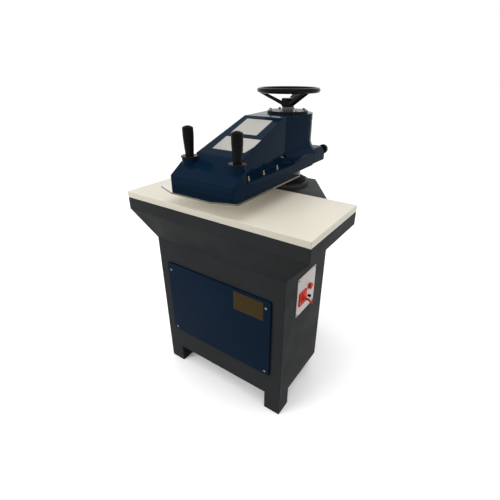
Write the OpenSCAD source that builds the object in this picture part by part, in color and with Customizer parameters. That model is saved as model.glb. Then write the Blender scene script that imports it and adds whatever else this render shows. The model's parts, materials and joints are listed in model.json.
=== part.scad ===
// Swing arm clicker press: a floor-standing hydraulic die press. Its arm swings about a rear pillar,
// is set for height by a handwheel, and is pulled down by a ram in the base.
// Millimetres, +X to the operator's right, +Y to the rear, +Z up.
// The origin is on the floor, under the middle of the overall width and depth.

/* [Table] */
// Width of the cutting board and of the bed under it
table_w = 900; // [860:1:1000]
// Depth of the cutting board and of the bed under it
table_d = 409; // [380:1:430]
// Height of the board's top above the floor
table_h = 974; // [940:1:1010]
// Thickness of the cutting board
board_t = 28; // [15:1:40]
// Thickness of the bed
bed_t = 56; // [40:1:70]
// How far the table's middle lies to the right of the arm's middle plane
table_shift = 21.5; // [0:0.5:40]
// Chamfer on the edges of the board and the bed
table_ease = 2; // [0.5:0.5:4]

/* [Cabinet] */
// Width across the side walls
cabinet_w = 700; // [640:1:760]
// Distance from the table's front edge back to the front wall
front_recess = 72; // [40:1:100]
// How far the straight side walls run on behind the table
side_back = 34; // [10:1:60]
// Distance from the pillar's axis back to the rear wall
rear_back = 128; // [126:1:160]
// Width of the rear wall
rear_w = 234; // [220:1:300]
// Thickness of the wall plates
wall_t = 6; // [4:0.5:8]
// Height of the slopes under the bed
hopper_h = 148; // [100:1:200]
// Drop from the board's top to the rear deck
deck_drop = 39; // [36:1:50]
// Thickness of the rear deck
deck_t = 20; // [12:1:30]
// Height of the legs
leg_h = 100; // [60:1:140]
// Width of each leg
leg_w = 82; // [70:1:100]
// Depth of each leg
leg_d = 83; // [70:1:100]
// Wall of the box legs
leg_wall = 5; // [3:0.5:8]
// Thickness of the sole plates
sole_t = 10; // [6:1:16]
// Anchor hole in each sole plate
anchor_d = 17; // [12:0.5:22]

/* [Front panel] */
// Width of the front panel
panel_w = 587; // [540:1:620]
// Height of the front panel
panel_h = 402; // [350:1:450]
// Thickness of the front panel
panel_t = 10; // [5:0.5:14]
// Height of the panel's lower edge above the floor
panel_z = 227; // [200:1:260]
// Overlap of the panel round the service window
panel_lap = 35; // [28:1:50]
// Diameter of the panel screw heads
panel_screw_d = 11; // [8:0.5:16]

/* [Controls] */
// Width of the control plate, front to rear
control_w = 164; // [150:1:190]
// Height of the control plate
control_h = 189; // [170:1:220]
// Thickness of the control plate
control_t = 2.5; // [1.5:0.5:4]
// Distance from the front wall to the control plate
control_back = 103; // [80:1:130]
// Height of the control plate's lower edge above the floor
control_z = 508; // [460:1:540]
// Side of the square base of the rotary switch
switch_w = 66; // [60:1:70]
// Diameter of the stop button's cap
stop_d = 29; // [24:0.5:34]
// Diameter of the start button's cap
start_d = 13; // [12:0.5:18]
// Travel of both push buttons
button_travel = 3; // [2:0.5:6]

/* [Pillar and ram] */
// Distance from the table's front edge back to the pillar's axis
axis_back = 652; // [635:1:665]
// Diameter of the pillar
pillar_d = 160; // [140:1:170]
// Downward stroke of the ram
stroke = 55; // [30:1:58]
// Upward travel of the arm on the height screw
lift = 60; // [20:1:70]
// Radial clearance of running fits
running_gap = 0.05; // [0.02:0.01:0.09]
// Clearance between faces that pass each other
face_gap = 0.3; // [0.2:0.05:0.6]
// Outer diameter of the flange at the pillar's foot
flange_d = 248; // [240:1:250]
// Thickness of that flange
flange_t = 14; // [10:1:17]
// Outer diameter of the wiper ring on the flange
wiper_d = 216; // [205:1:218]
// Height of the wiper ring
wiper_h = 19; // [14:1:20]
// Wall of the guide sleeve between pillar and arm
sleeve_wall = 15; // [12:0.5:16]
// Diameter of the height screw
screw_d = 40; // [30:1:44]
// Diameter of the cylinder bore
bore_d = 176; // [174:1:184]

/* [Arm] */
// Gap between the board and the striking plate at rest
daylight = 62; // [59:1:90]
// Width of the arm's foot
arm_w = 310; // [290:1:330]
// Height of the arm from its underside to the top of its hub
arm_h = 230; // [220:1:250]
// Height of the arm's foot, up to the bolt ledges
foot_h = 41; // [34:1:46]
// Distance from the pillar's axis to the nose
nose_reach = 640; // [600:1:660]
// Depth of the full-width nose
nose_block_d = 79; // [70:1:90]
// Distance from the nose back to the crease in the slanted top
crease_back = 116; // [105:1:130]
// Height of that crease above the arm's underside
crease_h = 116; // [108:1:124]
// Width of the wedge just behind the nose
waist_w = 234; // [220:1:250]
// Width of the wedge at the hub
hump_w = 196; // [190:1:220]
// Distance from the pillar's axis to the front of the hub's flat top
hump_front = 211; // [190:1:230]
// Outer diameter of the hub
hub_d = 240; // [226:1:250]
// Gap of the hub's split
split_gap = 6; // [2:0.5:8]
// Depth of the tail behind the pillar's axis
tail_d = 122; // [112:1:130]
// Height of the shoulders' outer edge at their front end, above the arm's underside
shoulder_front_h = 47; // [44:1:52]
// Height of the shoulders' outer edge at the split, above the arm's underside
shoulder_h = 55; // [50:1:62]
// Height at which the shoulders' slopes meet the wedge at their front end
shoulder_front_top = 68; // [62:1:74]
// Height at which the shoulders' slopes meet the hub
shoulder_top = 90; // [84:1:98]
// Radius of the cove above the shoulders at their front end
cove_front_r = 33; // [15:1:40]
// Radius of the cove between the shoulders and the hub
cove_r = 50; // [20:1:56]
// Height of the tail's top above the arm's underside
tail_h = 70; // [64:1:76]
// Radius of the soft crease in the slanted top
crease_r = 60; // [20:1:80]

/* [Striking plate] */
// Width of the striking plate
plate_w = 382; // [340:1:420]
// Length of the striking plate
plate_l = 495; // [450:1:510]
// Thickness of the striking plate
plate_t = 6; // [5:0.5:12]
// Distance from the pillar's axis to the plate's front edge
plate_reach = 697; // [670:1:720]
// Width of the corner cut of the plate
plate_cut_x = 96; // [60:1:120]
// Depth of the corner cut of the plate
plate_cut_y = 36; // [20:1:60]
// Spacing of the plate bolts along each ledge
plate_bolt_step = 103; // [90:1:110]
// Thread diameter of the plate bolts
plate_bolt_d = 8; // [6:0.5:10]

/* [Grips] */
// Distance of each grip from the arm's middle plane
grip_x = 117.5; // [112:0.5:120]
// Height of the boss tops above the arm's underside
boss_h = 105; // [98:1:115]
// Diameter of the bosses
boss_d = 63; // [56:1:70]
// Diameter of the collars on the bosses
collar_d = 69; // [60:1:75]
// Thickness of the collars
collar_t = 6; // [4:0.5:9]
// Height of the grips
grip_h = 109; // [95:1:125]
// Largest diameter of the grips
grip_d = 43; // [38:0.5:48]
// Diameter of the grips at the foot
grip_foot_d = 34; // [30:0.5:38]
// Diameter of the thumb buttons
thumb_d = 22; // [16:0.5:24]
// Travel of the thumb buttons
thumb_travel = 3; // [1.5:0.5:4]

/* [Handwheel] */
// Diameter of the flange on top of the hub
cap_d = 194; // [193:0.5:206]
// Thickness of that flange
cap_t = 10; // [7:0.5:14]
// Height of the steel neck above the flange
neck_h = 15; // [10:1:24]
// Diameter of the steel neck
neck_d = 54; // [50:1:58]
// Outer diameter of the handwheel
wheel_d = 294; // [250:1:320]
// Diameter of the rim's section
rim_d = 22; // [18:1:30]
// Diameter of the handwheel's hub
wheel_hub_d = 62; // [56:1:70]
// Height of the handwheel's hub
wheel_hub_h = 38; // [32:1:44]
// Rise from the hub's foot to the middle of the rim
rim_rise = 72; // [60:1:85]
// Turn of the first spoke from the +X direction in degrees
spoke_turn = -24; // [-60:1:60]

/* [Clamp knob] */
// Diameter of the clamp knob
knob_d = 47; // [40:1:52]
// Length of the clamp knob
knob_l = 27; // [20:1:34]
// Distance of the clamp studs in from the arm's sides
clamp_in = 15; // [14:0.5:20]
// Diameter of the clamp studs
clamp_d = 10; // [8:0.5:11]

/* [Hidden] */
$fn = 64;

// Places of the main pieces
knob_gap = 3;
overall_rear = tail_d + knob_gap + knob_l;
axis_x = -table_shift;
axis_y = (plate_reach - overall_rear) / 2;
table_y = axis_y - axis_back;
front_y = table_y + front_recess;
rear_y = axis_y + rear_back;
bed_z = table_h - board_t - bed_t;
deck_z = table_h - deck_drop;
plate_z = table_h + daylight;
arm_z = plate_z + plate_t;
ledge_z = arm_z + foot_h;
hub_z = arm_z + arm_h;

// Cabinet outline, anticlockwise from the front left corner
side_end = table_y + table_d + side_back;
cabinet_outline = [
    [axis_x - cabinet_w / 2, front_y],
    [axis_x + cabinet_w / 2, front_y],
    [axis_x + cabinet_w / 2, side_end],
    [axis_x + rear_w / 2, rear_y],
    [axis_x - rear_w / 2, rear_y],
    [axis_x - cabinet_w / 2, side_end]
];
cabinet_inside = inset(cabinet_outline, wall_t);
wall_top = deck_z - deck_t;
right_x = axis_x + cabinet_w / 2;

// Pillar, sleeve and cylinder
pillar_r = pillar_d / 2;
sleeve_r = pillar_r + sleeve_wall;
hub_r = hub_d / 2;
bore_r = bore_d / 2;
bush_wall = 13;
bush_r = pillar_r + bush_wall;
bush_l = 95;
spigot_wall = 6;
deck_bore_r = bush_r + spigot_wall;
barrel_r = deck_bore_r + 6;
seat_gap = 0.2;
piston_t = 60;
piston_nut_h = 15;
piston_nut_w = 80;
spigot_r = 30;
piston_z = 430;
barrel_foot_t = 30;
barrel_floor = piston_z - piston_nut_h - stroke - barrel_foot_t / 3;
seal_h = 8;
seal_depth = 5;
bolt_count = 8;

// Height screw and the sleeve that hangs on it
sleeve_top = hub_z + face_gap;
collar_plate_t = 10;
washer_t = 3.7;
sleeve_collar_r = hub_r - 8;
washer_z = arm_z - face_gap - washer_t;
sleeve_z = washer_z - collar_plate_t;
lock_t = 8;
lock_r = 32;
pillar_top = sleeve_top - face_gap - lock_t - 6;
nut_l = 80;
nut_r = 45;
screw_end = pillar_top - lift - nut_l * 0.85;
screw_bore_r = screw_d / 2 + 4;
cap_z = sleeve_top;
neck_z = cap_z + cap_t;
wheel_z = neck_z + neck_h + face_gap;
key_w = 18;
key_h = 12;
key_l = 130;
key_z = arm_z + lift;

// Arm
split_y = split_gap / 2;
ledge_bolt_x = (arm_w + hump_w) / 4 + 10;
first_bolt_y = -nose_reach + nose_block_d + 40;
plate_bolt_places = [for (side = [-1, 1], i = [0:2])
    [side * ledge_bolt_x, first_bolt_y + i * plate_bolt_step]];
grip_y = -nose_reach + nose_block_d;
grip_z = arm_z + boss_h + collar_t;
grip_places = [[-grip_x, grip_y], [grip_x, grip_y]];
clamp_x = arm_w / 2 - clamp_in;
clamp_h = shoulder_h - 3;
clamp_depth = 50;
cap_screw_d = 10;
cap_screw_x = (sleeve_r + hub_r) / 2;
cap_screw_heights = [arm_h * 0.45, arm_h * 0.84];
cap_screw_seat = 18;
cap_screw_depth = 40;

// Colours
charcoal = [0.19, 0.195, 0.2];
navy = [0.09, 0.15, 0.24];
cream = [0.83, 0.81, 0.75];
steel = [0.72, 0.72, 0.7];
polished = [0.8, 0.79, 0.76];
black = [0.08, 0.08, 0.08];
bronze = [0.7, 0.52, 0.28];
zinc = [0.82, 0.74, 0.55];
red = [0.8, 0.18, 0.14];
pale = [0.86, 0.85, 0.82];

// Unit vector along v
function unit(v) = v / norm(v);

// Point b of the path a, b, c, or an arc of radius r that rounds it
function corner(a, b, c, r, steps) =
    let (u = unit(a - b), v = unit(c - b), half = acos(u * v) / 2)
    r <= 0 || half > 89 ? [b] :
    let (centre = b + unit(u + v) * r / sin(half),
         from = b + u * r / tan(half) - centre,
         to = b + v * r / tan(half) - centre,
         start = atan2(from[1], from[0]),
         swing = atan2(from[0] * to[1] - from[1] * to[0], from * to))
    [for (i = [0:steps]) centre + r * [cos(start + swing * i / steps), sin(start + swing * i / steps)]];

// Closed outline with each corner rounded by its own radius
function rounded(points, radii, steps = 4) =
    let (n = len(points))
    [for (i = [0:n - 1])
        each corner(points[(i + n - 1) % n], points[i], points[(i + 1) % n], radii[i], steps)];

// Anticlockwise convex outline moved in by t, with mitred corners
function inset(points, t) =
    let (n = len(points))
    [for (i = [0:n - 1])
        let (d1 = unit(points[i] - points[(i + n - 1) % n]),
             d2 = unit(points[(i + 1) % n] - points[i]),
             n1 = [-d1[1], d1[0]],
             n2 = [-d2[1], d2[0]])
        points[i] + (n1 + n2) * t / (1 + n1 * n2)];

// Where the tangent from p, ahead on the right, touches a circle of radius r about the origin
function tangent_point(p, r) =
    let (turn = atan2(p[1], p[0]) + acos(r / norm(p)))
    r * [cos(turn), sin(turn)];

// Rectangle about its middle with cut corners
module cut_rect(w, d, e) {
    x = w / 2;
    y = d / 2;
    polygon([[e - x, -y], [x - e, -y], [x, e - y], [x, y - e],
        [x - e, y], [e - x, y], [-x, y - e], [-x, e - y]]);
}

// Block on its middle with all edges chamfered by e
module eased_block(w, d, h, e) {
    intersection() {
        linear_extrude(h) cut_rect(w, d, e);
        translate([0, 0, h / 2]) rotate([90, 0, 0]) linear_extrude(d, center = true) cut_rect(w, h, e);
        translate([0, 0, h / 2]) rotate([90, 0, 90]) linear_extrude(w, center = true) cut_rect(d, h, e);
    }
}

// Rectangle about its middle with round corners
module round_rect(w, d, r) {
    square([w - 2 * r, d], center = true);
    square([w, d - 2 * r], center = true);
    for (x = [-1, 1], y = [-1, 1]) translate([x * (w / 2 - r), y * (d / 2 - r)]) circle(r);
}

// Side outline, given as [y, z], swept across the width w
module across(w) rotate([90, 0, 90]) linear_extrude(w, center = true) children();

// Cross section, given as [x, z], swept from y0 to y1
module along(y0, y1) translate([0, y1, 0]) rotate([90, 0, 0]) linear_extrude(y1 - y0) children();

// Cylinder along +Y from the point p
module y_pin(p, r, l) translate(p) rotate([-90, 0, 0]) cylinder(r = r, h = l);

// Cylinder along +X from the point p
module x_pin(p, r, l) translate(p) rotate([0, 90, 0]) cylinder(r = r, h = l);

// Tube on its foot
module tube(outer, inner, h) {
    difference() {
        cylinder(r = outer, h = h);
        translate([0, 0, -1]) cylinder(r = inner, h = h + 2);
    }
}

// Frame whose origin is on the pillar's axis at floor level
module at_axis(z = 0) translate([axis_x, axis_y, z]) children();

// Hexagon head across flats w on its foot
module hex_head(w, h) cylinder(d = w / cos(30), h = h, $fn = 6);

// Socket screw: round head on the seat z = 0 with its socket, shank below
module socket_screw(d, shank) {
    difference() {
        cylinder(d = d * 1.5, h = d * 0.8);
        translate([0, 0, d * 0.4]) hex_head(d * 0.8, d);
    }
    translate([0, 0, -shank]) cylinder(d = d, h = shank + 0.01);
}

// Cabinet

// One wall plate of the cabinet, along side i of its outline
module wall(i, top) {
    j = (i + 1) % len(cabinet_outline);
    translate([0, 0, leg_h]) linear_extrude(top - leg_h)
        polygon([cabinet_outline[i], cabinet_outline[j], cabinet_inside[j], cabinet_inside[i]]);
}

module front_wall() color(charcoal) {
    difference() {
        wall(0, bed_z);
        translate([axis_x - panel_w / 2 + panel_lap, front_y - 1, panel_z + panel_lap])
            cube([panel_w - 2 * panel_lap, wall_t + 2, panel_h - 2 * panel_lap]);
        for (p = panel_screw_places()) y_pin([p[0], front_y - 1, p[1]], panel_screw_d / 4, wall_t + 2);
    }
}

// A side wall stands under the bed at the front and under the deck behind it
module side_wall(i) {
    difference() {
        wall(i, wall_top);
        translate([-table_w, table_y - 1, bed_z]) cube([table_w * 2, table_d + 1, wall_top]);
    }
}

module right_wall() color(charcoal) {
    difference() {
        side_wall(1);
        translate([right_x - wall_t - 1, control_y0 + cutout_y, control_z + cutout_z])
            cube([wall_t + 2, cutout_w, cutout_h]);
        for (p = control_screw_places())
            x_pin([right_x - wall_t - 1, p[0], p[1]], control_screw_d / 4, wall_t + 2);
    }
}

module left_wall() color(charcoal) side_wall(5);
module rear_right_wall() color(charcoal) wall(2, wall_top);
module rear_wall() color(charcoal) wall(3, wall_top);
module rear_left_wall() color(charcoal) wall(4, wall_top);

module cabinet_floor() color(charcoal)
    translate([0, 0, leg_h]) linear_extrude(wall_t) polygon(cabinet_inside);

module rear_deck() color([0.5, 0.52, 0.53]) {
    back = table_y + table_d;
    points = [[axis_x - cabinet_w / 2, back], [axis_x + cabinet_w / 2, back],
        for (i = [2:5]) cabinet_outline[i]];
    difference() {
        translate([0, 0, wall_top]) linear_extrude(deck_t) polygon(points);
        at_axis(wall_top - 1) cylinder(r = deck_bore_r + seat_gap, h = deck_t + 2);
        at_axis(wall_top - 1) flange_bolt_pattern() cylinder(d = flange_bolt_d, h = deck_t + 2);
    }
}

module table_bed() color(charcoal)
    translate([0, table_y + table_d / 2, bed_z]) eased_block(table_w, table_d, bed_t, table_ease);

module cutting_board() color(cream)
    translate([0, table_y + table_d / 2, bed_z + bed_t]) eased_block(table_w, table_d, board_t, table_ease);

// Sloped box under an overhang of the bed: plan outline, and a side outline drawn by the child
module hopper(plan) color(charcoal) {
    intersection() {
        translate([0, 0, bed_z - hopper_h]) linear_extrude(hopper_h) polygon(plan);
        children();
    }
}

hopper_x = table_w / 2 - table_ease;
hopper_y = table_y + table_ease;

module hopper_front() {
    plan = [[-hopper_x, hopper_y], [hopper_x, hopper_y], [right_x, front_y], [right_x - cabinet_w, front_y]];
    hopper(plan) across(table_w)
        polygon([[front_y, bed_z - hopper_h], [hopper_y, bed_z], [front_y, bed_z]]);
}

// Side box between the cabinet wall at wall_x and the bed's edge at edge_x
module hopper_side(wall_x, edge_x) {
    back = table_y + table_d - table_ease;
    hopper([[edge_x, hopper_y], [edge_x, back], [wall_x, back], [wall_x, front_y]]) along(hopper_y, back)
        polygon([[wall_x, bed_z - hopper_h], [edge_x, bed_z], [wall_x, bed_z]]);
}

module hopper_right() hopper_side(right_x, hopper_x);
module hopper_left() hopper_side(right_x - cabinet_w, -hopper_x);

// Box leg on a sole plate, with its outer corner at the origin and its body towards +X, +Y
module leg() {
    difference() {
        cube([leg_w, leg_d, leg_h]);
        translate([leg_wall, leg_wall, sole_t])
            cube([leg_w - 2 * leg_wall, leg_d - 2 * leg_wall, leg_h]);
        translate([leg_w / 2, leg_d / 2, -1]) cylinder(d = anchor_d, h = sole_t + 2);
    }
}

// Pair of legs mirrored about the arm's middle plane, with their outer sides at x from it
module leg_pair(x, y) color(charcoal)
    for (side = [-1, 1]) translate([axis_x + side * x, y, 0]) mirror([side > 0 ? 1 : 0, 0, 0]) leg();

module front_legs() leg_pair(cabinet_w / 2, front_y);
module rear_legs() leg_pair(rear_w / 2, rear_y - leg_d);

// Front panel

panel_screw_side = 22;
panel_screw_top = 36;
panel_screw_foot = 19;

function panel_screw_places() = [
    for (side = [-1, 1], z = [panel_z + panel_screw_foot, panel_z + panel_h - panel_screw_top])
        [axis_x + side * (panel_w / 2 - panel_screw_side), z]];

module front_panel() color(navy) {
    difference() {
        translate([axis_x, front_y, panel_z + panel_h / 2]) rotate([90, 0, 0])
            linear_extrude(panel_t) round_rect(panel_w, panel_h, 6);
        for (p = panel_screw_places())
            y_pin([p[0], front_y - panel_t - 1, p[1]], panel_screw_d / 4, panel_t + 2);
    }
}

module front_panel_screws() color(steel)
    for (p = panel_screw_places()) translate([p[0], front_y - panel_t, p[1]]) rotate([90, 0, 0])
        pan_screw(panel_screw_d, panel_t + wall_t);

// Cross-slotted screw with a low domed head on z = 0 and its shank below
module pan_screw(head_d, shank) {
    head_h = head_d * 0.3;
    slot = head_d * 0.12;
    difference() {
        intersection() {
            cylinder(d = head_d, h = head_h);
            translate([0, 0, head_h - head_d]) sphere(r = head_d);
        }
        for (turn = [0, 90]) rotate(turn)
            translate([-head_d / 3, -slot / 2, head_h * 0.5]) cube([head_d / 1.5, slot, head_h]);
    }
    translate([0, 0, -shank]) cylinder(d = head_d / 2, h = shank + 0.01);
}

// Controls

control_x = right_x + control_t;
control_y0 = front_y + control_back;
control_screw_d = 11;
control_screw_in = 8;
cutout_y = 14;
cutout_z = 40;
cutout_w = 116;
cutout_h = 94;
switch_at = [control_y0 + 47, control_z + 81];
switch_base_t = 6;
switch_body_w = 56;
switch_body_l = 45;
shaft_r = 5;
dial_r = 22;
dial_t = 4;
stop_at = [control_y0 + 108, control_z + 110];
start_at = [control_y0 + 108, control_z + 57];
bezel_t = 1;
bezel_lip = 2;
housing_l = 30;
stem_r = 5;
stop_cap_t = 10.5;
start_cap_t = 8.5;
cap_dome = 1.6;

function control_screw_places() = [
    for (y = [control_screw_in, control_w - control_screw_in],
         z = [control_screw_in, control_h - control_screw_in])
        [control_y0 + y, control_z + z]];

module control_plate() color(pale) {
    difference() {
        translate([right_x, control_y0 + control_w / 2, control_z + control_h / 2]) rotate([90, 0, 90])
            linear_extrude(control_t) round_rect(control_w, control_h, 4);
        for (p = control_screw_places())
            x_pin([right_x - 1, p[0], p[1]], control_screw_d / 4, control_t + 2);
        x_pin([right_x - 1, switch_at[0], switch_at[1]], shaft_r + running_gap, control_t + 2);
        for (p = [stop_at, start_at]) x_pin([right_x - 1, p[0], p[1]], stem_r + bezel_lip, control_t + 2);
    }
}

module control_plate_screws() color(steel)
    for (p = control_screw_places()) translate([control_x, p[0], p[1]]) rotate([0, 90, 0])
        pan_screw(control_screw_d, control_t + wall_t);

module switch_base() color(red) {
    difference() {
        union() {
            translate([control_x, switch_at[0], switch_at[1]]) rotate([90, 0, 90])
                linear_extrude(switch_base_t) round_rect(switch_w, switch_w, 5);
            x_pin([control_x, switch_at[0], switch_at[1]], dial_r, switch_base_t + dial_t);
        }
        x_pin([control_x - 1, switch_at[0], switch_at[1]], shaft_r + running_gap,
            switch_base_t + dial_t + 2);
    }
}

module switch_body() color(black) {
    middle = [right_x - switch_body_l / 2, switch_at[0], switch_at[1]];
    difference() {
        translate(middle) cube([switch_body_l, switch_body_w, switch_body_w], center = true);
        x_pin(middle, shaft_r + running_gap, switch_body_l);
    }
}

// Turning handle: collar, neck with a knuckle, bent finger lever and the shaft into the switch body
module switch_handle() color(red) {
    collar_r = 11;
    collar_h = 5;
    neck_l = 20;
    neck_r = 5;
    knuckle_r = 6;
    lever_l = 21;
    lever_r = 4.5;
    lever_bend = 31;
    foot = control_x + switch_base_t + dial_t + face_gap;
    start = right_x - switch_body_l / 2 + face_gap;
    x_pin([start, switch_at[0], switch_at[1]], shaft_r, foot - start + collar_h / 2);
    x_pin([foot, switch_at[0], switch_at[1]], collar_r, collar_h);
    x_pin([foot, switch_at[0], switch_at[1]], neck_r, neck_l);
    translate([foot + neck_l, switch_at[0], switch_at[1]]) {
        sphere(knuckle_r);
        rotate([0, 90 + lever_bend, 0]) rotate_extrude() polygon(rounded(
            [[0, 0], [lever_r, 0], [lever_r, lever_l], [0, lever_l]], [0, 0, 3, 0]));
    }
}

// Sleeve through the control plate that guides a button, with its bezel in front
module button_housing(at) {
    difference() {
        union() {
            x_pin([right_x - housing_l, at[0], at[1]], stem_r + bezel_lip, housing_l + control_t);
            x_pin([control_x, at[0], at[1]], stem_r + 2 * bezel_lip, bezel_t);
        }
        x_pin([right_x - housing_l - 1, at[0], at[1]], stem_r + running_gap,
            housing_l + control_t + bezel_t + 2);
    }
}

module button_housings() color(steel) {
    button_housing(stop_at);
    button_housing(start_at);
}

// Push button: domed cap ahead of the bezel, on a stem that slides in the housing
module push_button(at, cap_d, cap_t) {
    cap_x = control_x + bezel_t + button_travel + 0.5;
    x_pin([right_x - housing_l / 2, at[0], at[1]], stem_r, cap_x - right_x + housing_l / 2);
    translate([cap_x, at[0], at[1]]) rotate([0, 90, 0]) intersection() {
        cylinder(d = cap_d, h = cap_t);
        translate([0, 0, cap_t - cap_d * cap_dome]) sphere(r = cap_d * cap_dome);
    }
}

module stop_button() color(red) push_button(stop_at, stop_d, stop_cap_t);
module start_button() color(black) push_button(start_at, start_d, start_cap_t);

// Cylinder and the flange at the pillar's foot

flange_bolt_d = 0.55 * (flange_d - wiper_d) / 2;
flange_bolt_r = (flange_d + wiper_d) / 4;
flange_seat = flange_t - flange_bolt_d * 0.8 - 0.5;

module flange_bolt_pattern()
    for (i = [0:bolt_count - 1]) rotate((i + 0.5) * 360 / bolt_count)
        translate([flange_bolt_r, 0, 0]) children();

// Barrel under the deck with its spigot in the deck, a counterbore for the bush and a port on its right
module cylinder_barrel() color(charcoal) at_axis() {
    foot = barrel_floor - barrel_foot_t;
    difference() {
        union() {
            translate([0, 0, foot]) cylinder(r = barrel_r, h = wall_top - foot);
            translate([0, 0, foot]) cylinder(r = deck_bore_r, h = deck_z - foot);
            x_pin([bore_r + 2, 0, port_z], pipe_r + 7, port_x - bore_r - 2);
        }
        translate([0, 0, barrel_floor]) cylinder(r = bore_r, h = deck_z);
        translate([0, 0, deck_z - bush_l]) cylinder(r = bush_r + seat_gap, h = bush_l + 1);
        x_pin([bore_r - 5, 0, port_z], pipe_r - 3, port_x);
    }
}

module gland_bush() color(bronze) at_axis(deck_z - bush_l) tube(bush_r, pillar_r + running_gap, bush_l);

module pillar_flange() color(black) at_axis(deck_z) {
    difference() {
        tube(flange_d / 2, pillar_r + 1, flange_t);
        flange_bolt_pattern() {
            translate([0, 0, -1]) cylinder(d = flange_bolt_d, h = flange_t);
            translate([0, 0, flange_seat]) cylinder(d = flange_bolt_d * 1.5 + 2 * seat_gap, h = flange_t);
        }
    }
}

// Wiper with a lip that closes in on the pillar
module wiper_ring() color(black) at_axis(deck_z + flange_t) {
    lip_r = pillar_r + 2.5;
    side_h = wiper_h * 0.35;
    rotate_extrude() polygon([
        [pillar_r + face_gap, 0], [wiper_d / 2, 0], [wiper_d / 2, side_h],
        [(wiper_d / 2 + lip_r) / 2 + 3, wiper_h * 0.72], [lip_r, wiper_h], [pillar_r + face_gap, wiper_h]]);
}

module flange_bolts() color(black) at_axis(deck_z + flange_seat)
    flange_bolt_pattern() socket_screw(flange_bolt_d, flange_seat + deck_t);

// Power pack: tank with the motor, pump and valve block on its lid

tank_w = 520;
tank_d = 230;
tank_h = 150;
tank_gap = 40;
tank_lid = leg_h + wall_t + tank_h;
power_y = front_y + tank_gap + tank_d / 2;
shaft_rise = 80;
power_z = tank_lid + shaft_rise;
motor_r = 68;
motor_l = 190;
motor_in = 10;
motor_x = axis_x - tank_w / 2 + motor_in;
bearing_depth = 20;
drive_r = 12;
coupling_l = 50;
coupling_gap = 10;
pump_w = 80;
pump_x = motor_x + motor_l + coupling_l + 2 * coupling_gap + pump_w / 2;
pump_top = power_z + pump_w / 2;
valve_gap = 40;
valve_x = pump_x + pump_w + valve_gap;
pipe_r = 11;
elbow_r = 16;
port_boss = 8;
port_x = barrel_r + port_boss;
port_rise = 130;
port_z = piston_z + piston_t + port_rise;

module oil_tank() color(charcoal)
    translate([axis_x, power_y, leg_h + wall_t]) eased_block(tank_w, tank_d, tank_h, 4);

// Round outline with fins between the radii inner and outer
module finned_circle(count, outer, inner) {
    shares = [0, 0.3, 0.4, 0.9];
    polygon([for (i = [0:count - 1], k = [0:3])
        let (turn = (i + shares[k]) * 360 / count) (k < 2 ? outer : inner) * [cos(turn), sin(turn)]]);
}

// Finned motor lying along X, with a foot under each end bell
module motor() color([0.3, 0.34, 0.38]) {
    bell = 30;
    foot_w = 120;
    foot_h = power_z - tank_lid - motor_r / 2;
    difference() {
        union() {
            translate([motor_x + bell - 1, power_y, power_z]) rotate([0, 90, 0])
                linear_extrude(motor_l - 2 * bell + 2) finned_circle(24, motor_r - 2, motor_r - 9);
            for (x = [motor_x, motor_x + motor_l - bell]) {
                x_pin([x, power_y, power_z], motor_r, bell);
                translate([x, power_y - foot_w / 2, tank_lid]) cube([bell, foot_w, foot_h]);
            }
        }
        x_pin([motor_x + bearing_depth, power_y, power_z], drive_r + running_gap, motor_l);
    }
}

// Motor shaft with its coupling, running into the pump
module drive_coupling() color(steel) {
    shaft_start = motor_x + bearing_depth + face_gap;
    x_pin([shaft_start, power_y, power_z], drive_r, pump_x - shaft_start);
    x_pin([motor_x + motor_l + coupling_gap, power_y, power_z], drive_r * 2.5, coupling_l);
}

module pump() color([0.45, 0.46, 0.47]) {
    difference() {
        translate([pump_x - pump_w / 2, power_y - pump_w / 2, tank_lid])
            cube([pump_w, pump_w, pump_top - tank_lid]);
        x_pin([pump_x - pump_w, power_y, power_z], drive_r + running_gap, pump_w + face_gap);
    }
}

module valve_block() color(steel)
    translate([valve_x, power_y, tank_lid]) eased_block(pump_w, pump_w, pump_top - tank_lid, 3);

// Pipe from the pump to the valve block, and from there up, back and round to the barrel's port
module pressure_pipe() color(steel) {
    x_pin([pump_x + pump_w / 2, power_y, power_z], pipe_r, valve_x - pump_x - pump_w);
    translate([valve_x, power_y, pump_top]) cylinder(r = pipe_r, h = port_z - pump_top);
    y_pin([valve_x, power_y, port_z], pipe_r, axis_y - power_y);
    x_pin([axis_x + port_x + face_gap, axis_y, port_z], pipe_r, valve_x - axis_x - port_x - face_gap);
    for (y = [power_y, axis_y]) translate([valve_x, y, port_z]) sphere(elbow_r);
}

// Ram

// Hard-chromed pillar with its spigot for the piston, and the screw's bore and nut seat on top
module pillar() color(polished) at_axis() {
    foot = piston_z + piston_t;
    difference() {
        union() {
            translate([0, 0, foot]) cylinder(r = pillar_r, h = pillar_top - foot);
            translate([0, 0, piston_z - piston_nut_h])
                cylinder(r = spigot_r, h = foot - piston_z + piston_nut_h + 1);
        }
        translate([0, 0, pillar_top - nut_l]) cylinder(r = nut_r + seat_gap, h = nut_l + 1);
        translate([0, 0, screw_end - 10]) cylinder(r = screw_bore_r, h = pillar_top);
        translate([-key_w / 2, pillar_r - key_h / 2, key_z]) cube([key_w, key_h, key_l]);
    }
}

module piston() color(steel) at_axis(piston_z) {
    difference() {
        tube(bore_r - running_gap, spigot_r, piston_t);
        for (z = seal_heights()) translate([0, 0, z])
            tube(bore_r + 1, bore_r - seal_depth, seal_h);
    }
}

function seal_heights() = [for (i = [1, 2]) i * piston_t / 3 - seal_h / 2];

module piston_seals() color(black) at_axis(piston_z)
    for (z = seal_heights()) translate([0, 0, z]) tube(bore_r - running_gap, bore_r - seal_depth, seal_h);

module piston_nut() color(steel) at_axis(piston_z - piston_nut_h) {
    difference() {
        hex_head(piston_nut_w, piston_nut_h);
        translate([0, 0, -1]) cylinder(r = spigot_r, h = piston_nut_h + 2);
    }
}

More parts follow.
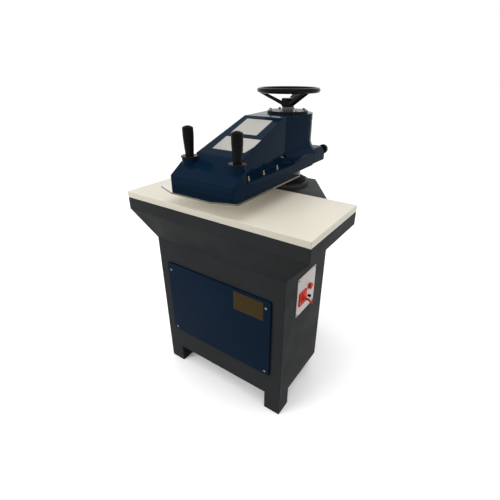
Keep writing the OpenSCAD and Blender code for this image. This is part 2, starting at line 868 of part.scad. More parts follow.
module height_nut() color(bronze) at_axis(pillar_top - nut_l) tube(nut_r, screw_d / 2 + running_gap, nut_l);

module sleeve_key() color(steel) at_axis()
    translate([-key_w / 2, pillar_r - key_h / 2, key_z]) cube([key_w, key_h, key_l]);

// Sleeve and hub cap, which rise and sink on the pillar

module guide_sleeve() color(bronze) at_axis() {
    difference() {
        union() {
            translate([0, 0, sleeve_z]) cylinder(r = sleeve_r, h = sleeve_top - sleeve_z);
            translate([0, 0, sleeve_z]) cylinder(r = sleeve_collar_r, h = collar_plate_t);
        }
        translate([0, 0, sleeve_z - 1]) cylinder(r = pillar_r + running_gap, h = sleeve_top - sleeve_z + 2);
        translate([-key_w / 2 - face_gap, 0, sleeve_z - 1])
            cube([key_w + 2 * face_gap, pillar_r + key_h / 2 + face_gap, sleeve_top - sleeve_z + 2]);
        translate([0, 0, cap_z - cap_bolt_l]) cap_bolt_pattern()
            cylinder(d = cap_bolt_d, h = cap_bolt_l + 1);
    }
}

module thrust_washer() color(bronze) at_axis(washer_z) tube(sleeve_collar_r, sleeve_r + seat_gap, washer_t);

cap_bolt_d = 8;
cap_bolt_l = 25;

module cap_bolt_pattern()
    for (i = [0:bolt_count - 1]) rotate((i + 0.25) * 360 / bolt_count)
        translate([pillar_r + sleeve_wall / 2, 0, 0]) children();

module hub_cap() color(black) at_axis(cap_z) {
    difference() {
        rotate_extrude() polygon(rounded(
            [[screw_d / 2 + 1, 0], [cap_d / 2, 0], [cap_d / 2, cap_t], [screw_d / 2 + 1, cap_t]],
            [0, 0, 3, 0]));
        translate([0, 0, -1]) cap_bolt_pattern() cylinder(d = cap_bolt_d, h = cap_t + 2);
    }
}

module hub_cap_bolts() color(steel) at_axis(neck_z)
    cap_bolt_pattern() socket_screw(cap_bolt_d, cap_t + cap_bolt_l);

module neck_bush() color(steel) at_axis(neck_z) tube(neck_d / 2, screw_d / 2 + running_gap, neck_h);

// Arm

// Side outline of the arm ahead of the split, as [y, z] from the axis and the underside
arm_profile = rounded([
    [-nose_reach, 0], [-nose_reach, foot_h], [crease_back - nose_reach, crease_h],
    [-hump_front, arm_h], [-split_y, arm_h], [-split_y, 0]], [0, 6, crease_r, 6, 0, 0]);

// Wedge seen from above: waist behind the nose, narrowing to the shoulders and then tangent to the hub
shoulder_set = 24;
shoulder_y = shoulder_set - hump_front;
hub_touch = tangent_point([hump_w / 2, shoulder_y], hub_r);

module wedge_plan() {
    side = [[waist_w / 2, nose_block_d - nose_reach - 1], [hump_w / 2, shoulder_y], hub_touch];
    polygon([for (p = side) p, for (i = [len(side) - 1:-1:0]) [-side[i][0], side[i][1]]]);
    circle(hub_r);
}

// Full-width outline from y0 to y1, with both front corners rounded
module foot_plan(y0, y1) {
    x = arm_w / 2;
    polygon(rounded([[-x, y0], [x, y0], [x, y1], [-x, y1]], [5, 5, 0, 0]));
}

// Cross section of a shoulder as [x, z]: side, slope and a cove of radius r up into the wall at x = wall
function shoulder_section(wall, edge_h, wall_h, r) =
    let (inner = sleeve_r - 4, outer = arm_w / 2, top = wall_h + r)
    rounded([[inner, 0], [outer, 0], [outer, edge_h], [wall, wall_h], [wall, top], [inner, top]],
        [0, 0, 6, r, 0, 0], 6);

// Solid between two end outlines that have the same number of points
module loft(first, last) {
    n = len(first);
    polyhedron(concat(first, last), [
        for (i = [1:n - 2]) each [[0, i + 1, i], [n, n + i, n + i + 1]],
        for (i = [0:n - 1]) let (j = (i + 1) % n) each [[i, j, n + i], [j, n + j, n + i]]]);
}

// Ramp from its tip on the bolt ledge, beside the wall, up to the front of a shoulder
module ramp() {
    ramp_l = 48;
    inner = hump_w / 2 - 2;
    outer = arm_w / 2;
    base_y = shoulder_y + 1;
    polyhedron([[inner, shoulder_y - ramp_l, foot_h - wall_sink],
        [inner, base_y, foot_h - 3], [outer, base_y, foot_h - 3],
        [outer, base_y, shoulder_front_h - 3], [inner, base_y, shoulder_front_top]],
        [[1, 2, 3, 4], [2, 1, 0], [3, 2, 0], [4, 3, 0], [1, 4, 0]]);
}

// Sloped shoulders beside the hub. They run from a ramp on the bolt ledge back to the split.
wall_sink = 0.5;

module shoulders() {
    front = shoulder_section(hump_w / 2 - wall_sink, shoulder_front_h, shoulder_front_top, cove_front_r);
    back = shoulder_section(hub_r - wall_sink, shoulder_h, shoulder_top, cove_r);
    for (side = [0, 1]) mirror([side, 0, 0]) {
        loft([for (p = front) [p[0], shoulder_y, p[1]]], [for (p = back) [p[0], -split_y, p[1]]]);
        ramp();
    }
}

// Holes along Y for the two clamp studs and the four cap screws, from y0 over length l
module split_holes(y0, l, stud_r, screw_r) {
    for (side = [-1, 1]) {
        y_pin([side * clamp_x, y0, clamp_h], stud_r, l);
        for (z = cap_screw_heights) y_pin([side * cap_screw_x, y0, z], screw_r, l);
    }
}

module arm_body() color(navy) at_axis(arm_z) {
    difference() {
        union() {
            intersection() {
                across(arm_w * 2) polygon(arm_profile);
                linear_extrude(arm_h) {
                    foot_plan(-nose_reach, -nose_reach + nose_block_d);
                    wedge_plan();
                }
            }
            linear_extrude(foot_h) foot_plan(-nose_reach, -split_y);
            shoulders();
            for (p = grip_places) translate(p) cylinder(d = boss_d, h = boss_h);
        }
        translate([0, 0, -1]) cylinder(r = sleeve_r + running_gap, h = arm_h + 2);
        for (p = plate_bolt_places) translate([p[0], p[1], -1]) cylinder(d = plate_bolt_d, h = foot_h + 2);
        split_holes(-split_y - clamp_depth, clamp_depth + 1, clamp_d / 2 + running_gap, cap_screw_d / 2);
        for (p = grip_places) translate([p[0], p[1], boss_h]) {
            cylinder(d = collar_d + 3, h = arm_h);
            translate([0, 0, -grip_stud_l]) cylinder(d = grip_stud_d, h = grip_stud_l + 1);
        }
    }
}

// Rear half of the hub with the tail, and a cove between them
module rear_cap() color(navy) at_axis(arm_z) {
    tail_lift = 5;
    x = arm_w / 2;
    crest = x - (x - hub_r) * (tail_h - shoulder_h) / (shoulder_top - shoulder_h);
    difference() {
        union() {
            along(split_y, tail_d) polygon([[-x, tail_lift], [x, tail_lift], [x, shoulder_h],
                [crest, tail_h], [-crest, tail_h], [-x, shoulder_h]]);
            intersection() {
                union() {
                    translate([0, 0, tail_lift]) cylinder(r = hub_r, h = arm_h - tail_lift);
                    rotate_extrude() polygon(rounded([[sleeve_r, tail_h - 1], [crest, tail_h - 1],
                        [crest, tail_h], [hub_r, shoulder_top], [hub_r, shoulder_top + cove_r],
                        [sleeve_r, shoulder_top + cove_r]], [0, 0, 0, cove_r, 0, 0]));
                }
                translate([-x, split_y, 0]) cube([arm_w, tail_d - split_y, arm_h]);
            }
        }
        translate([0, 0, -1]) cylinder(r = sleeve_r + running_gap, h = arm_h + 2);
        split_holes(0, tail_d + 1, clamp_d / 2 + running_gap, cap_screw_d / 2);
        for (side = [-1, 1], z = cap_screw_heights)
            y_pin([side * cap_screw_x, split_y + cap_screw_seat, z], cap_screw_d * 0.8, tail_d);
    }
}

// Four socket screws through the rear cap, and a plain clamp bolt on the left of the tail
module rear_cap_screws() color(steel) at_axis(arm_z) {
    for (side = [-1, 1], z = cap_screw_heights)
        translate([side * cap_screw_x, split_y + cap_screw_seat, z]) rotate([-90, 0, 0])
            socket_screw(cap_screw_d, cap_screw_seat + split_gap + cap_screw_depth);
    translate([-clamp_x, tail_d, clamp_h]) rotate([-90, 0, 0]) hex_head(clamp_d * 1.7, clamp_d * 0.65);
    y_pin([-clamp_x, -clamp_depth, clamp_h], clamp_d / 2, clamp_depth + tail_d + 0.01);
}

// Polished plate with both front corners cut. Its stud holes leave a skin at the working face.
stud_skin = 1.5;

module striking_plate() color(polished) at_axis(plate_z) {
    x = plate_w / 2;
    front = -plate_reach;
    back = plate_l - plate_reach;
    difference() {
        linear_extrude(plate_t) polygon(rounded(
            [[plate_cut_x - x, front], [x - plate_cut_x, front], [x, front + plate_cut_y], [x, back],
             [-x, back], [-x, front + plate_cut_y]], [4, 4, 4, 3, 3, 4]));
        for (p = plate_bolt_places) translate([p[0], p[1], stud_skin])
            cylinder(d = plate_bolt_d, h = plate_t);
    }
}

// Studs from the plate up through the ledges, each with washer and nut
module plate_bolts() color(zinc) at_axis(arm_z) {
    nut_w = plate_bolt_d * 1.6;
    nut_h = plate_bolt_d * 0.9;
    washer_h = 2;
    stud_z = stud_skin - plate_t;
    stud_top = foot_h + washer_h + nut_h + plate_bolt_d * 1.1;
    for (p = plate_bolt_places) translate(p) {
        translate([0, 0, foot_h]) cylinder(d = plate_bolt_d * 2, h = washer_h);
        translate([0, 0, foot_h + washer_h - 0.01]) hex_head(nut_w, nut_h);
        translate([0, 0, stud_z]) cylinder(d = plate_bolt_d, h = stud_top - stud_z);
    }
}

// Grips

grip_stud_d = 12;
grip_stud_l = 30;
thumb_depth = 6;
thumb_proud = thumb_travel + 0.5;
thumb_well = thumb_depth + thumb_travel + 0.5;

module grip_collars() color(black) at_axis(arm_z + boss_h)
    for (p = grip_places) translate(p) rotate_extrude() polygon(rounded(
        [[grip_stud_d / 2, 0], [collar_d / 2, 0], [collar_d / 2, collar_t], [grip_stud_d / 2, collar_t]],
        [0, 1, 2, 0]));

// Moulded grips: slim foot, swelling to a grooved seam, bevelled top with a well, stud below
module grips() color(black) at_axis(grip_z) {
    foot_r = grip_foot_d / 2;
    r = grip_d / 2;
    seam = grip_h * 0.56;
    groove = 0.8;
    bevel = r * 0.28;
    for (p = grip_places) translate(p) {
        rotate_extrude() polygon([
            [0, 0], [foot_r, 0], [foot_r, grip_h * 0.08], [foot_r + (r - foot_r) * 0.45, grip_h * 0.32],
            [r - groove, seam - groove], [r - groove * 2, seam], [r - groove * 0.5, seam + groove],
            [r, grip_h * 0.7], [r, grip_h - bevel], [r - bevel * 0.35, grip_h - bevel * 0.35],
            [r - bevel, grip_h],
            [thumb_d / 2 + running_gap, grip_h], [thumb_d / 2 + running_gap, grip_h - thumb_well],
            [0, grip_h - thumb_well]]);
        translate([0, 0, -collar_t - grip_stud_l]) cylinder(d = grip_stud_d, h = collar_t + grip_stud_l + 1);
    }
}

// Domed thumb button in the well of the grip at p
module thumb_button(p) color(black) at_axis(grip_z + grip_h - thumb_depth) {
    h = thumb_depth + thumb_proud;
    translate(p) intersection() {
        cylinder(d = thumb_d, h = h);
        translate([0, 0, h - thumb_d * 1.4]) sphere(r = thumb_d * 1.4);
    }
}

module left_thumb_button() thumb_button(grip_places[0]);
module right_thumb_button() thumb_button(grip_places[1]);

// Clamp knob with a domed end, on the stud that draws the split hub together
module clamp_knob() color(black) at_axis(arm_z) translate([clamp_x, 0, clamp_h]) {
    r = knob_d / 2;
    foot = tail_d + knob_gap;
    dome = knob_l * 0.45;
    translate([0, foot, 0]) rotate([-90, 0, 0]) rotate_extrude() polygon(rounded(
        [[0, 0], [r * 0.8, 0], [r, 3], [r, knob_l], [0, knob_l]], [0, 2, 1, dome, 0], 6));
    y_pin([0, -clamp_depth + face_gap, 0], clamp_d / 2, clamp_depth + foot);
    y_pin([0, tail_d + face_gap, 0], r * 0.45, knob_gap);
}

// Handwheel and its screw

module handwheel() color(black) at_axis(wheel_z) {
    spokes = 3;
    hub_r = wheel_hub_d / 2;
    rim_r = wheel_d / 2 - rim_d / 2;
    bevel = 4;
    difference() {
        union() {
            rotate_extrude() polygon(rounded(
                [[0, 0], [hub_r - bevel, 0], [hub_r, bevel], [hub_r, wheel_hub_h], [0, wheel_hub_h]],
                [0, 0, 0, 6, 0]));
            translate([0, 0, rim_rise]) rotate_extrude() translate([rim_r, 0]) circle(d = rim_d);
            for (i = [0:spokes - 1]) rotate(spoke_turn + i * 360 / spokes) spoke(hub_r, rim_r);
        }
        translate([0, 0, -1]) cylinder(d = screw_d * 0.7, h = wheel_hub_h - 5);
    }
}

// Spoke that rises from the hub's lower half into the rim, tapering on the way
module spoke(hub_r, rim_r) {
    hub_w = 34;
    rim_w = 22;
    hub_t = 17;
    rim_t = 12;
    hull() {
        translate([hub_r - hub_t / 2, 0, wheel_hub_h * 0.35]) rotate([90, 0, 0])
            cylinder(d = hub_t, h = hub_w, center = true, $fn = 28);
        translate([rim_r, 0, rim_rise - rim_t / 3]) rotate([90, 0, 0])
            cylinder(d = rim_t, h = rim_w, center = true, $fn = 28);
    }
}

// Screw from the handwheel's hub down through neck, cap and lock collar into the nut
module height_screw() color(steel) at_axis() {
    translate([0, 0, screw_end]) cylinder(d = screw_d, h = wheel_z - screw_end);
    translate([0, 0, wheel_z - 1]) cylinder(d = screw_d * 0.7, h = wheel_hub_h - 6 + 1);
}

module screw_collar() color(steel) at_axis(cap_z - face_gap - lock_t) tube(lock_r, screw_d / 2, lock_t);

front_wall();
right_wall();
rear_right_wall();
rear_wall();
rear_left_wall();
left_wall();
cabinet_floor();
rear_deck();
table_bed();
hopper_front();
hopper_right();
hopper_left();
cutting_board();
front_legs();
rear_legs();
front_panel();
front_panel_screws();
control_plate();
control_plate_screws();
switch_base();
switch_body();
button_housings();
switch_handle();
stop_button();
start_button();
cylinder_barrel();
gland_bush();
pillar_flange();
wiper_ring();
flange_bolts();
oil_tank();
motor();
pump();
drive_coupling();
valve_block();
pressure_pipe();
pillar();
piston();
piston_seals();
piston_nut();
height_nut();
sleeve_key();
guide_sleeve();
thrust_washer();
hub_cap();
hub_cap_bolts();
neck_bush();
arm_body();
rear_cap();
rear_cap_screws();
striking_plate();
plate_bolts();
grip_collars();
grips();
left_thumb_button();
right_thumb_button();
clamp_knob();
handwheel();
height_screw();
screw_collar();
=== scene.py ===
"""Looks of a swing arm press: materials, small bare pieces, studio and camera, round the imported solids."""

import json
import math

import bpy
from mathutils import Matrix, Vector


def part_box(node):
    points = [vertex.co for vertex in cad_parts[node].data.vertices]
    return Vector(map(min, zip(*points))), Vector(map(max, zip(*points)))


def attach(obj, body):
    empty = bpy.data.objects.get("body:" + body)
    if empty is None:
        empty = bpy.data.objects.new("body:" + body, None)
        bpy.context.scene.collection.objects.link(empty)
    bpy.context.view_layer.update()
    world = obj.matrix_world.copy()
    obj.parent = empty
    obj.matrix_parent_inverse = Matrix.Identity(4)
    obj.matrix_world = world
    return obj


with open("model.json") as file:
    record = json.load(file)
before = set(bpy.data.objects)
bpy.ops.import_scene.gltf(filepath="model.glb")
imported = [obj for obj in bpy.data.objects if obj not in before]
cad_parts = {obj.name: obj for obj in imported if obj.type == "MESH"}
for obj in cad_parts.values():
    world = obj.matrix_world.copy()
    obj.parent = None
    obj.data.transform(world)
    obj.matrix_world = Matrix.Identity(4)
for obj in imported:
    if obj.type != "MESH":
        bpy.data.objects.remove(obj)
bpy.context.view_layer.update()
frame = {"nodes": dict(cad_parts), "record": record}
NODES = frame["nodes"]
MM = 0.001
QUARTER_TURN = math.radians(90)


# Colours
def tone(red, green, blue):
    """Linear colour from display values of 0 to 255, by the sRGB curve."""
    def linear(v):
        v /= 255.0
        return v / 12.92 if v <= 0.04045 else ((v + 0.055) / 1.055) ** 2.4
    return (linear(red), linear(green), linear(blue), 1.0)


def scaled(colour, factor):
    """Colour made darker or lighter by a factor."""
    return tuple(c * factor for c in colour[:3]) + (1.0,)


WHITE = tone(255, 255, 255)
NAVY = tone(8, 28, 46)


# Shader nodes
def put(tree, node, key, value):
    """Set an input of a node to a value, or link another node's output to it."""
    if isinstance(value, bpy.types.NodeSocket):
        tree.links.new(value, node.inputs[key])
    else:
        node.inputs[key].default_value = value


def add(tree, kind, **inputs):
    """New shader node with inputs by name, where _ stands for a space."""
    node = tree.nodes.new("ShaderNode" + kind)
    for key, value in inputs.items():
        put(tree, node, key.replace("_", " "), value)
    return node


def reckon(tree, operation, *values):
    """Result of a new Math node."""
    node = add(tree, "Math")
    node.operation = operation
    for i, value in enumerate(values):
        put(tree, node, i, value)
    return node.outputs[0]


class Finish:
    """A material whose colour, roughness and surface come from procedural nodes."""

    # The range that noise mostly lies in
    NOISE_LOW, NOISE_HIGH = 0.3, 0.7

    def __init__(self, name):
        self.material = bpy.data.materials.new(name)
        self.material.use_nodes = True
        self.tree = self.material.node_tree
        self.surface = self.tree.nodes["Principled BSDF"]
        self.place = self.add("TexCoord").outputs["Object"]

    def add(self, kind, **inputs):
        return add(self.tree, kind, **inputs)

    def set(self, **inputs):
        for key, value in inputs.items():
            put(self.tree, self.surface, key.replace("_", " "), value)

    def noise(self, scale, detail=3.0, stretch=(1, 1, 1)):
        spread = self.add("Mapping", Vector=self.place, Scale=stretch)
        return self.add("TexNoise", Vector=spread.outputs[0], Scale=scale, Detail=detail).outputs["Fac"]

    def between(self, factor, low, high):
        node = self.add("MapRange", Value=factor, From_Min=self.NOISE_LOW, From_Max=self.NOISE_HIGH,
                        To_Min=low, To_Max=high)
        return node.outputs["Result"]

    def shades(self, factor, dark, light):
        ramp = self.add("ValToRGB", Fac=factor)
        ends = ramp.color_ramp.elements
        ends[0].position, ends[1].position = self.NOISE_LOW, self.NOISE_HIGH
        ends[0].color, ends[1].color = dark, light
        return ramp.outputs["Color"]

    def tints(self, factor, colour, low, high):
        """Colour that varies between low and high times the one given."""
        return self.shades(factor, scaled(colour, low), scaled(colour, high))

    def varied(self, factor, mean, spread):
        """Value that varies between two shares of its mean."""
        return self.between(factor, mean * spread[0], mean * spread[1])

    def relief(self, height, depth, edge):
        """Fine relief of that depth over edges that look rounded by the radius edge, both in metres."""
        soft = self.add("Bevel", Radius=edge)
        bump = self.add("Bump", Height=height, Distance=depth, Strength=1.0, Normal=soft.outputs[0])
        self.set(Normal=bump.outputs[0])


# Least and most roughness of a coat and of bare metal, as shares of the mean
COAT_SPREAD = (0.85, 1.2)
METAL_SPREAD = (0.75, 1.3)
# Depths of relief
TOOL_MARKS = 0.03 * MM
THIN_COAT = 0.04 * MM


# Kinds of finish, where shine is the specular level and edge the radius that edges seem to have
def enamel(name, colour, rough, edge, shine, peel=0.12 * MM):
    """Sprayed enamel with a faint orange peel."""
    f = Finish(name)
    clouds = f.noise(scale=4.0)
    sheen = f.noise(scale=11.0, detail=4.0)
    f.set(Base_Color=f.tints(clouds, colour, low=0.92, high=1.08),
          Roughness=f.varied(sheen, rough, COAT_SPREAD), Specular_IOR_Level=shine)
    f.relief(f.noise(scale=220.0, detail=2.0), peel, edge)
    return f.material


def moulded(name, colour, rough, edge, grain=0.08 * MM):
    """Moulded plastic or rubber with a fine grain."""
    f = Finish(name)
    clouds = f.noise(scale=9.0)
    sheen = f.noise(scale=60.0)
    f.set(Base_Color=f.tints(clouds, colour, low=0.94, high=1.05),
          Roughness=f.varied(sheen, rough, COAT_SPREAD), Specular_IOR_Level=0.05)
    f.relief(f.noise(scale=900.0, detail=2.0), grain, edge)
    return f.material


def turned(name, colour, rough, edge, stretch=(1, 1, 60)):
    """Bare metal with fine tool marks across the stretched direction."""
    f = Finish(name)
    marks = f.noise(scale=30.0, detail=5.0, stretch=stretch)
    sheen = f.noise(scale=25.0, detail=4.0, stretch=stretch)
    f.set(Base_Color=f.tints(marks, colour, low=0.9, high=1.0), Metallic=1.0,
          Roughness=f.varied(sheen, rough, METAL_SPREAD))
    f.relief(marks, TOOL_MARKS, edge)
    return f.material


def plate_with_painted_edges(name, colour, painted_edge_shade, rough, edge):
    """Polished level plate of metal, whose upright edges get a painted dark warm reflection in place of its
    own colour.
    """
    f = Finish(name)
    normal = f.add("SeparateXYZ", Vector=f.add("TexCoord").outputs["Normal"])
    level = reckon(f.tree, "ABSOLUTE", normal.outputs["Z"])
    marks = f.noise(scale=30.0, detail=5.0, stretch=(1, 12, 1))
    # Upright faces take the painted edge shade and level faces the plate's own colour
    f.set(Base_Color=f.shades(level, painted_edge_shade, colour), Metallic=1.0,
          Roughness=f.varied(marks, rough, METAL_SPREAD))
    f.relief(marks, TOOL_MARKS, edge)
    return f.material


def cutting_plastic(name, colour):
    """Smooth cream board with faint wear."""
    f = Finish(name)
    clouds = f.noise(scale=3.0, detail=2.0)
    wear = f.noise(scale=7.0, detail=2.0)
    f.set(Base_Color=f.tints(clouds, colour, low=0.985, high=1.01),
          Roughness=f.between(wear, low=0.29, high=0.33), Specular_IOR_Level=0.2)
    f.relief(f.noise(scale=400.0, detail=2.0), depth=0.02 * MM, edge=2 * MM)
    return f.material


# Finishes by material slot
FINISHES = {
    "charcoal_paint": enamel("charcoal_enamel", tone(47, 48, 49), rough=0.42, edge=2 * MM, shine=0.014),
    "deck_paint": enamel("deck_enamel", tone(50, 53, 55), rough=0.34, edge=2 * MM, shine=0.03),
    "navy_paint": enamel("navy_enamel", NAVY, rough=0.2, edge=1.5 * MM, shine=0.02),
    "board_plastic": cutting_plastic("cream_board", tone(212, 206, 191)),
    # The chrome pillar's dark warm olive colour is a painted reflection of the shaded cream board around it
    "hard_chrome": turned("hard_chrome", tone(76, 72, 60), rough=0.1, edge=1 * MM),
    # The plate's upright edges carry a painted dark warm reflection
    "plate_steel": plate_with_painted_edges("polished_plate", tone(226, 222, 212), painted_edge_shade=tone(90, 85, 71),
                             rough=0.07, edge=1 * MM),
    "plain_steel": turned("bright_steel", tone(138, 137, 133), rough=0.24, edge=0.6 * MM),
    "yellow_zinc": turned("yellow_zinc", tone(138, 131, 110), rough=0.3, edge=0.6 * MM),
    "black_steel": enamel("blackened_steel", tone(22, 22, 23), rough=0.22, edge=0.8 * MM, shine=0.06,
                          peel=THIN_COAT),
    "black_plastic": moulded("black_moulding", tone(13, 13, 14), rough=0.3, edge=1 * MM),
    "seal_rubber": moulded("seal_rubber", tone(24, 24, 25), rough=0.62, edge=1 * MM, grain=0.2 * MM),
    "bearing_bronze": turned("bearing_bronze", tone(196, 156, 96), rough=0.28, edge=1 * MM),
    "red_plastic": moulded("red_moulding", tone(212, 58, 44), rough=0.32, edge=1 * MM),
    "pale_paint": enamel("pale_enamel", tone(212, 206, 201), rough=0.4, edge=0.8 * MM, shine=0.05),
    "grey_paint": enamel("machine_enamel", tone(86, 96, 106), rough=0.4, edge=1 * MM, shine=0.3),
    "bare_iron": turned("machined_iron", tone(128, 130, 132), rough=0.42, edge=1 * MM),
}

# Finishes of single nodes, which differ from the rest of their slot
CAST_NAVY = enamel("navy_casting", NAVY, rough=0.1, edge=4 * MM, shine=0.022, peel=0.08 * MM)
WORN_BLACK = enamel("worn_black", tone(66, 66, 67), rough=0.34, edge=1 * MM, shine=0.05, peel=THIN_COAT)
GLOSS_BLACK = enamel("gloss_black", tone(9, 9, 10), rough=0.12, edge=1 * MM, shine=0.08, peel=THIN_COAT)
DULL_STEEL = turned("dull_steel", tone(104, 103, 99), rough=0.34, edge=0.6 * MM)
OWN_FINISH = {
    "arm_body": CAST_NAVY,
    "rear_cap": CAST_NAVY,
    "handwheel": GLOSS_BLACK,
    "clamp_knob": GLOSS_BLACK,
    "pillar_flange": WORN_BLACK,
    "neck_bush": DULL_STEEL,
}

# Finishes of the plates that are made here
BARE_PLATE = enamel("bare_plate", tone(166, 165, 159), rough=0.4, edge=0.4 * MM, shine=0.05, peel=0.03 * MM)
BRONZE_PLATE = turned("bronze_plate", tone(50, 40, 16), rough=0.4, edge=0.4 * MM, stretch=(20, 1, 1))


def dress(obj, material):
    """Give an object one material."""
    if not obj.data.materials:
        obj.data.materials.append(material)
    for slot in obj.material_slots:
        slot.material = material


for part in frame["record"]["subparts"]:
    node_name = part["node"]
    dress(NODES[node_name], OWN_FINISH.get(node_name, FINISHES[part["material_slot"]]))


# Shapes of the pieces that are made here
PLATE_CORNER = 3 * MM


def metres(*points):
    """Points that are given in millimetres."""
    return [tuple(v * MM for v in point) for point in points]


def rectangle(left, low, right, high):
    return [(left, low), (right, low), (right, high), (left, high)]


def rounded(outline, radius, steps=5):
    """Outline with every corner rounded."""
    points = []
    for i, corner in enumerate(outline):
        corner = Vector(corner)
        to_last = (Vector(outline[i - 1]) - corner).normalized()
        to_next = (Vector(outline[(i + 1) % len(outline)]) - corner).normalized()
        reach = radius / math.tan(to_last.angle(to_next) / 2)
        start, end = corner + to_last * reach, corner + to_next * reach
        for step in range(steps + 1):
            t = step / steps
            points.append(start * (1 - t) ** 2 + corner * 2 * t * (1 - t) + end * t ** 2)
    return points


def shape(name, verts, faces, material):
    """New mesh object in the scene."""
    mesh = bpy.data.meshes.new(name)
    mesh.from_pydata(verts, [], faces)
    obj = bpy.data.objects.new(name, mesh)
    bpy.context.scene.collection.objects.link(obj)
    dress(obj, material)
    return obj


def skin(name, rings, place, material, body):
    """Closed piece over a stack of rings with as many points each, set by the matrix place."""
    count = len(rings[0])
    verts = [place @ Vector(point) for ring in rings for point in ring]
    top = len(verts) - count
    faces = [list(range(count))[::-1], list(range(top, len(verts)))]
    for start in range(0, top, count):
        for i in range(count):
            j = (i + 1) % count
            faces.append([start + i, start + j, start + count + j, start + count + i])
    obj = shape(name, verts, faces, material)
    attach(obj, body)


def thin_plate(name, outline, thickness, place, material, body):
    """Flat plate from an outline in the plane of the matrix place, with its face along +Z."""
    rim = rounded(outline, PLATE_CORNER)
    rings = [[(p.x, p.y, height) for p in rim] for height in (0.0, thickness)]
    skin(name, rings, place, material, body)


def lathe(name, outline, place, material, body, sides=24):
    """Turned piece from an outline of radius and height, standing on the plane of the matrix place."""
    turns = [2 * math.pi * i / sides for i in range(sides)]
    rings = [[(radius * math.cos(turn), radius * math.sin(turn), height) for turn in turns]
             for radius, height in outline]
    skin(name, rings, place, material, body)


# Places on the arm count from the pillar's axis and from the arm's underside
pillar_low, pillar_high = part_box("pillar")
AXIS_X, AXIS_Y = ((pillar_low[i] + pillar_high[i]) / 2 for i in (0, 1))
ARM_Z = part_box("arm_body")[0][2]

# Bare plates on the slanted top of the arm, which rises from a crease to a hump
CREASE_Y, CREASE_Z = -524 * MM, 116 * MM
HUMP_Y, HUMP_Z = -211 * MM, 230 * MM
SLOPE = math.atan2(HUMP_Z - CREASE_Z, HUMP_Y - CREASE_Y)
SLOPE_GAP = 0.1 * MM
SLOPE_PLACE = (Matrix.Translation((AXIS_X, AXIS_Y + CREASE_Y, ARM_Z + CREASE_Z))
               @ Matrix.Rotation(SLOPE, 4, "X") @ Matrix.Translation((0, 0, SLOPE_GAP)))
ARM_PLATE_T = 1.2 * MM
UPPER_PLATE = metres(*rectangle(left=-65, low=174, right=64, high=302))
LOWER_PLATE = metres((-66, 44), (92, 44), (105, 90), (105, 144), (-66, 144))
thin_plate("arm_plate_upper", UPPER_PLATE, ARM_PLATE_T, SLOPE_PLACE, BARE_PLATE, "arm")
thin_plate("arm_plate_lower", LOWER_PLATE, ARM_PLATE_T, SLOPE_PLACE, BARE_PLATE, "arm")

# Bare bronze plate on the front panel, from the panel's middle and the ground
panel_low, panel_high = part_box("front_panel")
PANEL_X = (panel_low[0] + panel_high[0]) / 2
PANEL_PLACE = Matrix.Translation((PANEL_X, panel_low[1], 0)) @ Matrix.Rotation(QUARTER_TURN, 4, "X")
PANEL_PLATE_T = 1 * MM
PANEL_PLATE = metres(*rectangle(left=105, low=523, right=259, high=616))
thin_plate("panel_plate", PANEL_PLATE, PANEL_PLATE_T, PANEL_PLACE, BRONZE_PLATE, "base")

# Grease nipple on the wedge's right wall, ahead of the shoulder
WALL_FRONT = Vector((117.0, -562.0)) * MM
WALL_REAR = Vector((98.0, -187.0)) * MM
NIPPLE_AHEAD = 35 * MM
NIPPLE_UP = 69.5 * MM
wall = (WALL_REAR - WALL_FRONT).normalized()
foot = WALL_REAR - wall * NIPPLE_AHEAD
NIPPLE_PLACE = (Matrix.Translation((AXIS_X + foot.x, AXIS_Y + foot.y, ARM_Z + NIPPLE_UP))
                @ Matrix.Rotation(math.atan2(wall.y, wall.x) - QUARTER_TURN, 4, "Z")
                @ Matrix.Rotation(QUARTER_TURN, 4, "Y"))
NIPPLE = metres((5.0, -0.2), (5.0, 4.5), (2.8, 5.5), (2.8, 8.0), (3.6, 9.5), (3.4, 11.5), (1.6, 13.0))
lathe("grease_nipple", NIPPLE, NIPPLE_PLACE, FINISHES["plain_steel"], "arm")


# Studio
def plane(name, size, material):
    """Level square on the ground, as part of the stage."""
    half = size / 2
    corners = [(x, y, 0.0) for x, y in rectangle(-half, -half, half, half)]
    obj = shape(name, corners, [[0, 1, 2, 3]], material)


def in_view(tree):
    """1 on rays that show the background: from the camera, off a shiny surface or through a clear one."""
    path = add(tree, "LightPath").outputs
    seen = reckon(tree, "MAXIMUM", path["Is Camera Ray"], path["Is Glossy Ray"])
    return reckon(tree, "MAXIMUM", seen, path["Is Transmission Ray"])


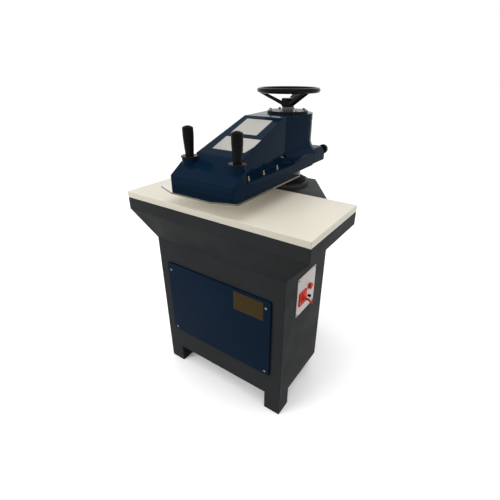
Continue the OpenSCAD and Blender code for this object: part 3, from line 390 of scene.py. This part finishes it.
# The floor is white where it is seen or mirrored, and throws little light back up
FLOOR_SIZE = 60.0
SEEN_FLOOR = tone(253, 253, 253)
UNSEEN_FLOOR = tone(115, 115, 115)
FLOOR_GLOW = 0.1
floor_finish = Finish("pale_floor")
on_show = in_view(floor_finish.tree)
floor_finish.set(Base_Color=floor_finish.shades(on_show, UNSEEN_FLOOR, SEEN_FLOOR),
                 Roughness=0.9, Specular_IOR_Level=0.05, Emission_Color=WHITE,
                 Emission_Strength=floor_finish.between(on_show, 0.0, FLOOR_GLOW))
plane("studio_floor", FLOOR_SIZE, floor_finish.material)

LAMP_AIM = Vector((0.0, 0.0, 0.9))


def lamp(name, kind, place, power, **settings):
    """Lamp at a place, aimed at the press. It doesn't show in reflections."""
    data = bpy.data.lights.new(name, kind)
    data.energy = power
    for key, value in settings.items():
        setattr(data, key, value)
    obj = bpy.data.objects.new(name, data)
    obj.location = place
    obj.rotation_euler = (LAMP_AIM - Vector(place)).to_track_quat("-Z", "Y").to_euler()
    obj.visible_glossy = False
    bpy.context.scene.collection.objects.link(obj)


lamp("overhead", "SUN", place=(-0.9, 0.5, 4.5), power=1.7, angle=math.radians(90))
lamp("side_light", "AREA", place=(3.4, 0.2, 2.0), power=48, shape="RECTANGLE", size=2.0, size_y=2.2)
lamp("front_light", "AREA", place=(-1.6, -3.4, 2.2), power=94, shape="RECTANGLE", size=2.4, size_y=2.4)

# The world is white where it is seen or mirrored, and a level fill for the rest
FILL_LEVEL = 0.45
SEEN_LEVEL = 1.0
world = bpy.data.worlds.new("studio")
world.use_nodes = True
bpy.context.scene.world = world
sky = world.node_tree
sky.nodes.clear()
fill = add(sky, "Background", Color=WHITE, Strength=FILL_LEVEL)
seen_sky = add(sky, "Background", Color=WHITE, Strength=SEEN_LEVEL)
mixed = add(sky, "MixShader", Fac=in_view(sky), Shader=fill.outputs[0])
put(sky, mixed, 2, seen_sky.outputs[0])
add(sky, "OutputWorld", Surface=mixed.outputs[0])

# Camera at the photograph's angle
CAMERA_PLACE = (848.6 * MM, -1289.0 * MM, 1450.1 * MM)
CAMERA_TILT = math.radians(62.63)
CAMERA_TURN = math.radians(34.90)
camera = bpy.data.objects.new("camera", bpy.data.cameras.new("camera"))
camera.data.sensor_width = 36.0
camera.data.lens = 24.98
camera.location = CAMERA_PLACE
camera.rotation_euler = (CAMERA_TILT, 0.0, CAMERA_TURN)
bpy.context.scene.collection.objects.link(camera)
bpy.context.scene.camera = camera
bpy.context.scene.view_settings.view_transform = "Standard"
